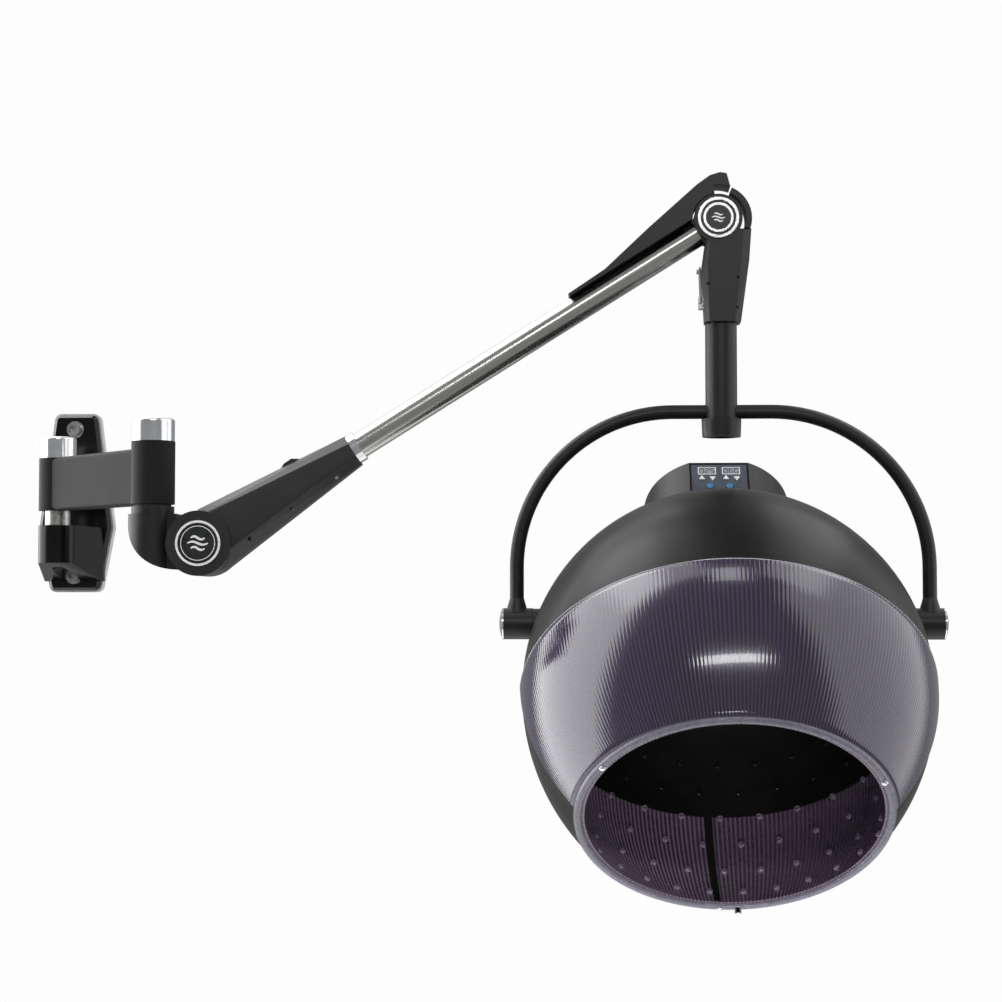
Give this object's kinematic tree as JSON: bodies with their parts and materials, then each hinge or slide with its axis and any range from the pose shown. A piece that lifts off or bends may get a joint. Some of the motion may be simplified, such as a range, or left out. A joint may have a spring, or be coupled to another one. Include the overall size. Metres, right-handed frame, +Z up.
{
  "type": "wall-mounted hood hair dryer",
  "caption": "Wall-mounted salon hood dryer: swivelling link and levelling tube arm carry a yoke with a tilting black dome, smoke ribbed visor, perforated lining and top control box.",
  "frame": {"origin": "middle of the wall backing's rear face, which lies on the wall, between the two wall bolts", "axes": "+X along the wall to the right of a person who faces it, +Y into the wall, +Z up"},
  "size_m": [0.9703, 0.5268, 0.7273],
  "materials": {
    "grey_backing": "satin",
    "black_paint": "satin black powder coat",
    "charcoal_paint": "fine matte powder coat",
    "zinc_steel": "bright zinc",
    "chrome_trim": "polished",
    "steel_tube": "polished lengthwise",
    "black_casing": "matte",
    "badge_white": "gloss",
    "badge_grey": "gloss",
    "acetal": "natural",
    "friction_disc": "matte",
    "spring_wire": "drawn",
    "shell_black": "fine satin",
    "smoke_visor": "ribbed, smoke purple",
    "smoke_liner": "ribbed, smoke purple",
    "clear_bead": "clear",
    "inner_black": "satin",
    "heater_mica": "mica and nichrome",
    "motor_grey": "matte",
    "fan_white": "satin",
    "panel_grey": "satin film",
    "window_grey": "gloss",
    "board_green": "solder mask",
    "key_white": "satin",
    "key_blue": "satin"
  },
  "bodies": {
    "wall": {"wall_gasket": "grey_backing", "wall_bracket": "black_paint", "wall_bolts": "zinc_steel", "wall_washers": "zinc_steel", "link_pin": "zinc_steel", "link_bush": "zinc_steel"},
    "link": {"link_casting": "charcoal_paint", "wall_boss_cap": "chrome_trim", "arm_boss_cap": "chrome_trim", "boss_sleeves": "acetal"},
    "elbow": {"elbow": "charcoal_paint", "elbow_spindle": "zinc_steel", "elbow_washer": "friction_disc", "lower_crank": "zinc_steel"},
    "arm": {"arm_casing_front": "black_casing", "arm_casing_rear": "black_casing", "casing_screws": "zinc_steel", "lower_badge_ring": "badge_white", "lower_badge_disc": "badge_grey", "tube_collar": "chrome_trim", "arm_tube": "steel_tube", "arm_fork": "charcoal_paint", "upper_cover": "black_casing", "spring_seat": "zinc_steel"},
    "rod": {"tie_rod": "zinc_steel", "balance_spring": "spring_wire"},
    "head": {"drop_housing_front": "charcoal_paint", "drop_housing_rear": "charcoal_paint", "housing_screws": "zinc_steel", "upper_crank": "zinc_steel", "upper_badge_ring": "chrome_trim", "upper_badge_disc": "badge_grey", "latch_block": "zinc_steel"},
    "bail": {"bail_wire": "zinc_steel"},
    "yoke": {"drop_tube": "charcoal_paint", "drop_collar": "black_paint", "yoke_bar": "charcoal_paint", "yoke_hubs": "black_casing", "hub_caps": "chrome_trim"},
    "hood": {"rear_shell": "shell_black", "visor": "smoke_visor", "liner": "smoke_liner", "inner_dome": "inner_black", "rim_bead": "clear_bead", "rim_screws": "chrome_trim", "tilt_journals": "black_paint", "fan_guard": "zinc_steel", "heater": "heater_mica", "fan_motor": "motor_grey", "control_box": "shell_black", "control_panel": "panel_grey", "display_windows": "window_grey", "control_board": "board_green"},
    "fan": {"fan": "fan_white"},
    "key_time_up": {"key_time_up": "key_white"},
    "key_time_down": {"key_time_down": "key_white"},
    "key_heat_up": {"key_heat_up": "key_white"},
    "key_heat_down": {"key_heat_down": "key_white"},
    "key_power": {"key_power": "key_blue"},
    "key_cool": {"key_cool": "key_blue"}
  },
  "joints": [
    {"name": "link_swivel", "type": "hinge", "parent": "wall", "child": "link", "pos_m": [0, -0.09, 0], "axis": [0, 0, 1], "range_deg": [-110, 40]},
    {"name": "elbow_swivel", "type": "hinge", "parent": "link", "child": "elbow", "pos_m": [0.13546, -0.23027, 0], "axis": [0, 0, 1], "range_deg": [-150, 80]},
    {"name": "arm_lift", "type": "hinge", "parent": "elbow", "child": "arm", "pos_m": [0.18746, -0.23027, -0.0526], "axis": [0, -1, 0], "range_deg": [-30, 18]},
    {"name": "tie_rod_swing", "type": "hinge", "parent": "elbow", "child": "rod", "pos_m": [0.18746, -0.23027, -0.0483], "axis": [0, -1, 0], "range_deg": [-30, 18], "deforming": ["balance_spring"]},
    {"name": "drop_level", "type": "hinge", "parent": "arm", "child": "head", "pos_m": [0.70392, -0.23027, 0.27012], "axis": [0, -1, 0], "range_deg": [-18, 30]},
    {"name": "bail_swing", "type": "hinge", "parent": "head", "child": "bail", "pos_m": [0.68692, -0.23027, 0.18712], "axis": [0, -1, 0], "range_deg": [0, 110]},
    {"name": "yoke_swivel", "type": "hinge", "parent": "head", "child": "yoke", "pos_m": [0.70692, -0.23027, 0.07832], "axis": [0, 0, 1], "range_deg": [-160, 160]},
    {"name": "hood_tilt", "type": "hinge", "parent": "yoke", "child": "hood", "pos_m": [0.70692, -0.23027, -0.13248], "axis": [1, 0, 0], "range_deg": [-15, 50]},
    {"name": "fan_spin", "type": "hinge", "parent": "hood", "child": "fan", "pos_m": [0.70692, -0.28882, -0.1975], "axis": [0, 0.6691, 0.7431], "continuous": true},
    {"name": "key_time_up_press", "type": "slide", "parent": "hood", "child": "key_time_up", "axis": [0, 0.7431, -0.6691], "range_m": [0, 0.0008], "stiffness_N_per_m": 300, "springref_m": -0.0005},
    {"name": "key_time_down_press", "type": "slide", "parent": "hood", "child": "key_time_down", "axis": [0, 0.7431, -0.6691], "range_m": [0, 0.0008], "stiffness_N_per_m": 300, "springref_m": -0.0005},
    {"name": "key_heat_up_press", "type": "slide", "parent": "hood", "child": "key_heat_up", "axis": [0, 0.7431, -0.6691], "range_m": [0, 0.0008], "stiffness_N_per_m": 300, "springref_m": -0.0005},
    {"name": "key_heat_down_press", "type": "slide", "parent": "hood", "child": "key_heat_down", "axis": [0, 0.7431, -0.6691], "range_m": [0, 0.0008], "stiffness_N_per_m": 300, "springref_m": -0.0005},
    {"name": "key_power_press", "type": "slide", "parent": "hood", "child": "key_power", "axis": [0, 0.7431, -0.6691], "range_m": [0, 0.0008], "stiffness_N_per_m": 300, "springref_m": -0.0005},
    {"name": "key_cool_press", "type": "slide", "parent": "hood", "child": "key_cool", "axis": [0, 0.7431, -0.6691], "range_m": [0, 0.0008], "stiffness_N_per_m": 300, "springref_m": -0.0005}
  ],
  "couplings": [
    {"joint": "tie_rod_swing", "follows": "arm_lift", "ratio": 1},
    {"joint": "drop_level", "follows": "arm_lift", "ratio": -1}
  ]
}
